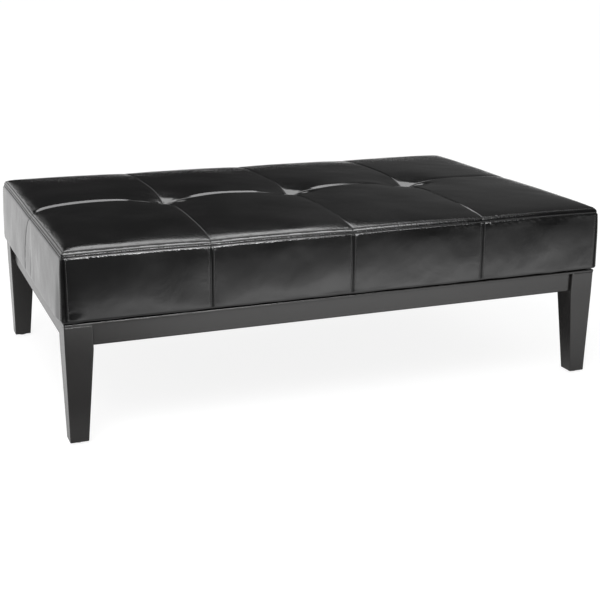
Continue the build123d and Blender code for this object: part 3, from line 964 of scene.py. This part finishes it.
def top_painted_seam_shade(x, y):
    """How much painted shade a point of the top gets, from 0 to 1: dark lines along the seams."""
    dx, dy = half_x - np.abs(x), half_y - np.abs(y)
    near, across = np.minimum(dx, dy), np.min(np.abs(cross_walk(x, y)), axis=-1)
    at_edge = soft_clip((cross_shade_from - dy) / cross_shade_over)
    shade = np.where(y < 0, cross_shade + (1 - cross_shade) * at_edge, 1.0)
    left = fall(x + half_x, 1.0, left_length) - fall(dy, left_front, left_front_length) * (y < 0)
    left = np.clip(left, 0, 1)
    lines = [shade * bell(across, line_width), bell(middle_gap(x, y), line_width + middle_more * left),
             bell(near, edge_line_width + line_more * left),
             (row_shade + (1 - row_shade) * left) * bell(near - band_width, row_line_width)]
    return np.max(lines, axis=0)


def side_painted_seam_shade(s, drop):
    """The same for the sides: the edge seam, the turned band's foot and the upright seams."""
    gap, row = seam_rows(s)
    shade, left = np.clip(drop / upright_start, 0, 1), at_left_end(s)
    strip = strip_shade * 0.5 * (1 - np.tanh((gap - row + strip_inset) / strip_bend))
    lines = [bell(drop, line_width + end_line_more * left),
             bell(drop - band_drop, foot_line_width + line_more * left),
             shade * bell(gap, edge_line_width), shade * strip,
             bell(end_seam_gap(s, drop), end_line_width)]
    return np.max(lines, axis=0)


def top_gather(x, y):
    """Where the thread gathers the top's leather, from 0 to 1: beside the edge's stitched row."""
    near = np.minimum(half_x - np.abs(x), half_y - np.abs(y))
    return bell(near - band_width - top_gather_place, top_gather_width)


def side_gather(s, drop):
    """The same for the sides: under the edge seam, and less beside the upright seams."""
    gap, row = seam_rows(s)
    beside = upright_gather * bell(gap - row, upright_gather_width)
    return np.maximum(bell(drop - band_drop, side_gather_width), beside)


drops = np.array([0.0, 0.002, 0.005])
print("crease 0, 2 and 5 mm under the edge:", side_painted_seam_shade(np.full(3, 0.5), drops).round(2))

# %% [markdown]
# ## Down the sides and under
#
# A cover ends out of sight: its lower edge is turned under to a flat hem, and a pocket holds
# the wooden deck. Each of these is one more loop of points with as many points as the rim,
# and every loop is read from the last one of the sides.

# %% Loops below the rim
bottom_round = 0.009
bottom_turns = np.radians((18, 36, 54, 72, 90))
hem_lift, hem_width, pocket_play = 0.0003, 0.0325, 0.0002
loose_least, loose_front, loose_wave, loose_wave_long, front_depth = 0.0006, 0.0014, 0.0004, 0.09, 0.02


def side_grid():
    """The walk and the drop of each point of the sides. The rows crowd under the edge seam and at
    the foot, and near the left end's seam they lean back with it."""
    drops = graded_lines([0.0, band_drop, side_drop - bottom_round], *drop_grading)[1:, None]
    return np.broadcast_arrays(walked - lean(walked, drops), drops)


def turned_under(last):
    """The loops that turn the lower edge under, on a quarter of an oval. The edge stays a little
    above the wood, more along the front."""
    front = last[:, 1] < front_depth - half_y
    loose = loose_least + loose_front * front
    loose = loose + loose_wave * ripple(walked, np.zeros(len(walked)), loose_wave_long, seed=31)
    fall_to_foot = last[:, 2] - (base_level + hem_lift + loose)
    in_by = bottom_round * (1 - np.cos(bottom_turns))[:, None, None] * outline_out
    level = last[:, 2] - fall_to_foot * np.sin(bottom_turns)[:, None]
    return np.concatenate([last[:, :2] - in_by, level[..., None]], axis=-1)


def drawn_in(flat, limit_x, limit_y, level):
    """A loop drawn in to a rectangle, at one level."""
    return np.stack([np.clip(flat[:, 0], -limit_x, limit_x), np.clip(flat[:, 1], -limit_y, limit_y),
                     np.full(len(flat), level)], axis=-1)


def pocket(flat):
    """The flat hem, the step up beside the rails, and the pocket's walls up to the deck's top."""
    hem_x, hem_y = side_high[0] - hem_width, side_high[1] - hem_width
    deck_x, deck_y, deck_top = (c + pocket_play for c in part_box("deck_board")[1])
    rail_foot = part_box("rail_front")[0][2] - pocket_play
    return np.stack([drawn_in(flat, hem_x, hem_y, base_level + hem_lift),
                     drawn_in(flat, hem_x, hem_y, rail_foot),
                     drawn_in(flat, deck_x, deck_y, rail_foot),
                     drawn_in(flat, deck_x, deck_y, deck_top)])


print("rows down the sides:", len(side_grid()[0]))

# %% [markdown]
# ## One closed cover
#
# The top's grid comes first, and the loops of the sides, the turned edge and the pocket
# follow its rim. Neighbouring loops have equally many points, so the faces between them are
# counted off at once, and every seam closes by itself.

# %% Make the cushion
def mesh_object(name, points, faces):
    """A smooth mesh object from an array of points and a list of faces."""
    mesh = bpy.data.meshes.new(name)
    mesh.from_pydata(points.tolist(), [], faces)
    mesh.validate()
    mesh.polygons.foreach_set("use_smooth", np.full(len(mesh.polygons), True))
    mesh.update()
    thing = bpy.data.objects.new(name, mesh)
    bpy.context.collection.objects.link(thing)
    return thing


def make_cushion():
    """The whole cover as one closed mesh, with its marks for the painted seam shade and the gather."""
    x, y = follow_seams(*np.meshgrid(x_lines, y_lines, indexing="ij"))
    number = np.arange(x.size).reshape(x.shape)
    rim = np.concatenate([number[:, 0], number[-1, 1:], number[::-1, -1][1:], number[0, ::-1][1:-1]])
    top_faces = np.stack([number[:-1, :-1], number[1:, :-1], number[1:, 1:], number[:-1, 1:]], axis=-1)
    s, drop = side_grid()
    sides = side_point(s, drop)
    under = turned_under(sides[-1])
    rows = np.concatenate([sides, under, pocket(under[-1][:, :2])])
    loops = np.concatenate([rim[None], x.size + np.arange(rows[..., 0].size).reshape(len(rows), -1)])
    corners = [loops[:-1], loops[1:], np.roll(loops[1:], -1, axis=1), np.roll(loops[:-1], -1, axis=1)]
    faces = top_faces.reshape(-1, 4).tolist() + np.stack(corners, axis=-1).reshape(-1, 4).tolist()
    points = np.concatenate([top_point(x, y).reshape(-1, 3), rows.reshape(-1, 3)])
    thing = mesh_object("cushion", points, faces + [loops[-1, ::-1].tolist()])
    # The crease mark is painted shade along the seams; the gather mark drives fine dimples.
    marks = {"crease": (top_painted_seam_shade(x, y), side_painted_seam_shade(s, drop)),
             "gather": (top_gather(x, y), side_gather(s, drop))}
    unmarked = np.zeros(len(points) - x.size - s.size)
    for name, (on_top, on_sides) in marks.items():
        layer = thing.data.attributes.new(name, "FLOAT", "POINT")
        layer.data.foreach_set("value", np.concatenate([on_top.ravel(), on_sides.ravel(), unmarked]))
    return thing


cushion = make_cushion()
print("cushion", len(cushion.data.vertices), "points", len(cushion.data.polygons), "faces")

# %% [markdown]
# ## The pocket's corners
#
# The pocket is drawn in from a long loop to a small rectangle, so many of its points fall on
# the same corner. They are merged, and then every edge is counted, because a closed cover
# has exactly two faces at each edge.

# %% Close the pocket's corners
import bmesh

same_place = 1e-6
merged = bmesh.new()
merged.from_mesh(cushion.data)
bmesh.ops.remove_doubles(merged, verts=merged.verts, dist=same_place)
merged.to_mesh(cushion.data)
open_edges = sum(1 for e in merged.edges if len(e.link_faces) != 2)
merged.free()
print("edges not shared by two faces:", open_edges)

# %% [markdown]
# ## One row of stitches
#
# Each stitch is a short thread that comes out of the leather, lies on it and goes back in.
# All the stitches of a row are made at once: five places along each stitch are read from
# the cover's own surface, and a small ring is set round each. A curve object for each of
# two thousand stitches would look the same and be far heavier.

# %% A row of stitches
thread_radius = 0.0009
stitch_pitch, stitch_share = 0.0056, 0.56
stitch_lift = np.array([-0.0005, 0.00030, 0.00042, 0.00030, -0.0005])
ring_sides = 6
normal_step = 0.0002


def thread_rings(places, normals):
    """Rings round the five places of every stitch: lifted in the middle, sunk at the ends."""
    along = np.gradient(places, axis=1)
    along /= np.linalg.norm(along, axis=-1, keepdims=True)
    aside = np.cross(along, normals)
    aside /= np.linalg.norm(aside, axis=-1, keepdims=True)
    centre = places + normals * stitch_lift[None, :, None]
    turn = (np.arange(ring_sides) * 2 * math.pi / ring_sides)[:, None]
    ring = aside[:, :, None] * np.cos(turn) + normals[:, :, None] * np.sin(turn)
    return centre[:, :, None] + ring * thread_radius


def surface_normals(point, u, v):
    """Unit normals: the cross product of small steps along both of a surface's parameters."""
    du = point(u + normal_step, v) - point(u - normal_step, v)
    dv = point(u, v + normal_step) - point(u, v - normal_step)
    normal = np.cross(du, dv)
    return normal / np.linalg.norm(normal, axis=-1, keepdims=True)


def row_of_stitches(point, start, end, flip=1.0):
    """The rings of a row of stitches between two places in a surface's parameters."""
    start, end = np.array(start, float), np.array(end, float)
    count = max(1, int(np.linalg.norm(end - start) / stitch_pitch))
    reach = np.linspace(-0.5, 0.5, len(stitch_lift)) * stitch_share / count
    share = ((np.arange(count) + 0.5) / count)[:, None] + reach
    u, v = (start[k] + (end[k] - start[k]) * share for k in (0, 1))
    return thread_rings(point(u, v), flip * surface_normals(point, u, v))


def stitch_faces(count):
    """The faces of all the stitches: bands of quads between the rings and a cap at either end."""
    ring, rings_end = np.arange(ring_sides), ring_sides * (len(stitch_lift) - 1)
    here = np.arange(0, rings_end, ring_sides)[:, None] + ring
    turned = np.arange(0, rings_end, ring_sides)[:, None] + (ring + 1) % ring_sides
    band = np.stack([here, turned, turned + ring_sides, here + ring_sides], axis=-1).reshape(-1, 4)
    first = (rings_end + ring_sides) * np.arange(count)[:, None]
    caps = np.concatenate([first + ring[::-1], first + rings_end + ring])
    return (first[..., None] + band).reshape(-1, 4).tolist() + caps.tolist()


# %% [markdown]
# ## All the rows
#
# One row runs round the top just inside the edge seam, one round the sides just under it,
# and two run down each stitched upright seam, one on either side of it.

# %% Stitches
upright_first = 0.003
edge_x, edge_y = half_x - band_width, half_y - band_width
rows = [row_of_stitches(top_point, (-edge_x, sy * edge_y), (edge_x, sy * edge_y)) for sy in (-1, 1)]
rows += [row_of_stitches(top_point, (sx * edge_x, -edge_y), (sx * edge_x, edge_y)) for sx in (-1, 1)]
rows.append(row_of_stitches(side_point, (0.0, band_drop), (circuit, band_drop), -1.0))
for seam in corner_seams + long_seams:
    off = corner_gap if seam in corner_seams else stitch_gap
    for walk in (seam - off, seam + off):
        start, end = (walk, band_drop + upright_first), (walk, side_drop - bottom_round)
        rows.append(row_of_stitches(side_point, start, end, -1.0))
rings = np.concatenate(rows)
stitches = mesh_object("stitches", rings.reshape(-1, 3), stitch_faces(len(rings)))
print("stitches", len(rings))

# %% [markdown]
# ## Leather and thread
#
# The cover is coated leather: black, glossy and nearly smooth. What gives it away as leather
# is small: faint soft bends of the mirror image, finer creases, patches that are a little
# duller, and a very fine grain under the gloss. Each is one texture, and the reliefs are
# laid over one another from the widest to the finest. The thread is duller than the
# leather, with a fine twist.

# %% Leather and thread
leather_dark, leather_light = (0.0035, 0.0035, 0.0037), (0.0065, 0.0064, 0.0064)
leather_gloss, leather_roughness = 0.5, (0.12, 0.19)
thread_black = (0.045, 0.045, 0.045, 1)


def make_leather():
    """Glossy black coated leather: cloudy gloss, bends, creases, a fine grain, and dimples where
    the thread gathers it. The gloss is taken away in the seams, which paints shade there."""
    material, graph, shader = new_finish("coated_leather")
    place = graph.place()
    cloud = graph.add("TexNoise", Vector=place, Scale=9.0, Detail=4.0, Roughness=0.55).outputs["Fac"]
    bend = graph.add("TexNoise", Vector=place, Scale=14.0, Detail=3.0, Roughness=0.6, Distortion=0.6)
    crease = graph.add("TexNoise", {"noise_type": "RIDGED_MULTIFRACTAL"}, Vector=place, Scale=26.0,
                       Detail=3.0, Roughness=0.5)
    grain = graph.add("TexVoronoi", {"feature": "DISTANCE_TO_EDGE"}, Vector=place, Scale=900.0)
    pores = graph.spread(grain.outputs["Distance"], (0.0, 0.12), soft=False)
    dimple = graph.add("TexNoise", Vector=place, Scale=210.0, Detail=1.5, Roughness=0.5).outputs["Fac"]
    gathered = graph.reckon("MULTIPLY", dimple, graph.mark("gather"))
    relief = graph.bump(bend.outputs["Fac"], strength=0.10, distance=0.004)
    relief = graph.bump(crease.outputs["Fac"], strength=0.08, distance=0.0006, under=relief)
    relief = graph.bump(pores, strength=0.1, distance=0.0001, under=relief)
    relief = graph.bump(gathered, strength=1.0, distance=0.0009, under=relief)
    # Painted shade: the gloss falls to nothing along the seams' crease mark.
    gloss_with_painted_shade = graph.spread(graph.mark("crease"), (0.0, 1.0), (leather_gloss, 0.0), soft=False)
    graph.set(shader, IOR=1.5, Specular_IOR_Level=gloss_with_painted_shade, Normal=relief,
              Roughness=graph.spread(cloud, (0.35, 0.65), leather_roughness, soft=False),
              Base_Color=graph.tint(cloud, leather_dark, leather_light))
    return material


def make_thread():
    """Black sewing thread with a fine twist."""
    material, graph, shader = new_finish("sewing_thread")
    twist = graph.add("TexNoise", Vector=graph.place(), Scale=2500.0, Detail=1.0).outputs["Fac"]
    graph.set(shader, Base_Color=thread_black, Roughness=0.5, Specular_IOR_Level=0.25,
              Normal=graph.bump(twist, strength=0.3, distance=0.0002))
    return material


cushion.data.materials.append(make_leather())
stitches.data.materials.append(make_thread())
print("leather nodes", len(cushion.data.materials[0].node_tree.nodes))

# %% [markdown]
# ## The cushion's place in the model
#
# The new cover stands for the solids of the cover and of its padding, which stay hidden and
# keep their weight. Cushion and stitches move with the table's one body.

# %% What the cushion rides on and stands for
covers = [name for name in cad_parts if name.startswith("cover_")]
padding = [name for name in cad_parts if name.startswith("side_pad_")]
padding += ["foam_slab", "fibre_topper"]
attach(cushion, "root")
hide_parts(*covers, *padding)
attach(stitches, "root")
print("cushion stands for", len(covers) + len(padding), "solids")

# %% [markdown]
# ## Painted wood
#
# The base is painted satin black over a fine-grained wood. The paint levels most of the
# grain, so only long faint ridges are left, and the sheen changes a little along them. The
# noise is stretched along each piece's own length, and the solids' sharp edges are rounded
# for the light alone.

# %% Black paint
paint_black, paint_roughness = (0.014, 0.013, 0.0125, 1), (0.18, 0.23)
grain_across, grain_along = 60.0, 2.0
edge_round = 0.0030


def dress(prefixes, material):
    """Give every solid whose name starts with one of the prefixes a finish."""
    for name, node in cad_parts.items():
        if name.startswith(tuple(prefixes)):
            node.data.materials.clear()
            node.data.materials.append(material)


def make_paint(name, axis):
    """Satin black paint over wood whose grain runs along an axis: 0, 1 or 2."""
    material, graph, shader = new_finish(name)
    scale = [grain_across] * 3
    scale[axis] = grain_along
    place = graph.add("Mapping", Vector=graph.place(), Scale=scale).outputs["Vector"]
    grain = graph.add("TexNoise", Vector=place, Scale=4.0, Detail=4.0, Roughness=0.6).outputs["Fac"]
    rounded = graph.add("Bevel", {"samples": 8}, Radius=edge_round).outputs["Normal"]
    graph.set(shader, Base_Color=paint_black,
              Normal=graph.bump(grain, strength=0.12, distance=0.0003, under=rounded),
              Roughness=graph.spread(grain, (0.3, 0.7), paint_roughness, soft=False))
    return material


paint_x, paint_y, paint_z = (make_paint("black_paint_" + "xyz"[k], k) for k in range(3))
dress(["leg_"], paint_z)
dress(["apron_front", "apron_back", "cap_front", "cap_back"], paint_x)
dress(["apron_left", "apron_right", "cap_left", "cap_right"], paint_y)
painted = [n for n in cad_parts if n.startswith(("leg_", "apron_", "cap_"))]
print("painted", len(painted), "pieces")

# %% [markdown]
# ## The parts inside and below
#
# The deck, its fixings and the glides hardly show, but a table is also seen upside down in a
# workshop. Each has the plain finish of its stuff: a colour that wanders a little, a
# roughness that wanders with it, and a faint relief from the same noise.

# %% Plain finishes
darker, lighter, smoother, rougher = 0.85, 1.12, 0.85, 1.1


def make_plain(name, colour, roughness, metallic=0.0, scale=300.0, strength=0.15):
    """A plain finish with a fine uneven surface."""
    material, graph, shader = new_finish(name)
    noise = graph.add("TexNoise", Vector=graph.place(), Scale=scale, Detail=3.0).outputs["Fac"]
    colours = [darker * c for c in colour], [min(lighter * c, 1) for c in colour]
    span = smoother * roughness, rougher * roughness
    graph.set(shader, Metallic=metallic, Base_Color=graph.tint(noise, *colours),
              Roughness=graph.spread(noise, (0.3, 0.7), span, soft=False),
              Normal=graph.bump(noise, strength=strength, distance=0.0004))
    return material


softwood = make_plain("softwood", (0.62, 0.46, 0.29), 0.6)
dress(["corner_block_", "rail_", "cross_rails", "strap_cleats"], softwood)
dress(["deck_board"], make_plain("plywood", (0.66, 0.52, 0.35), 0.6))
dress(["dust_cover"], make_plain("dust_cloth", (0.03, 0.03, 0.03), 0.9, scale=900.0, strength=0.5))
dress(["tuft_straps"], make_plain("webbing", (0.5, 0.47, 0.4), 0.85))
dress(["foot_glides"], make_plain("glide_plastic", (0.05, 0.05, 0.05), 0.5))
zinc = make_plain("zinc_steel", (0.6, 0.61, 0.62), 0.35, metallic=1.0)
dress(["hanger_bolts", "bolt_", "deck_screws"], zinc)
print("finishes", len(bpy.data.materials))
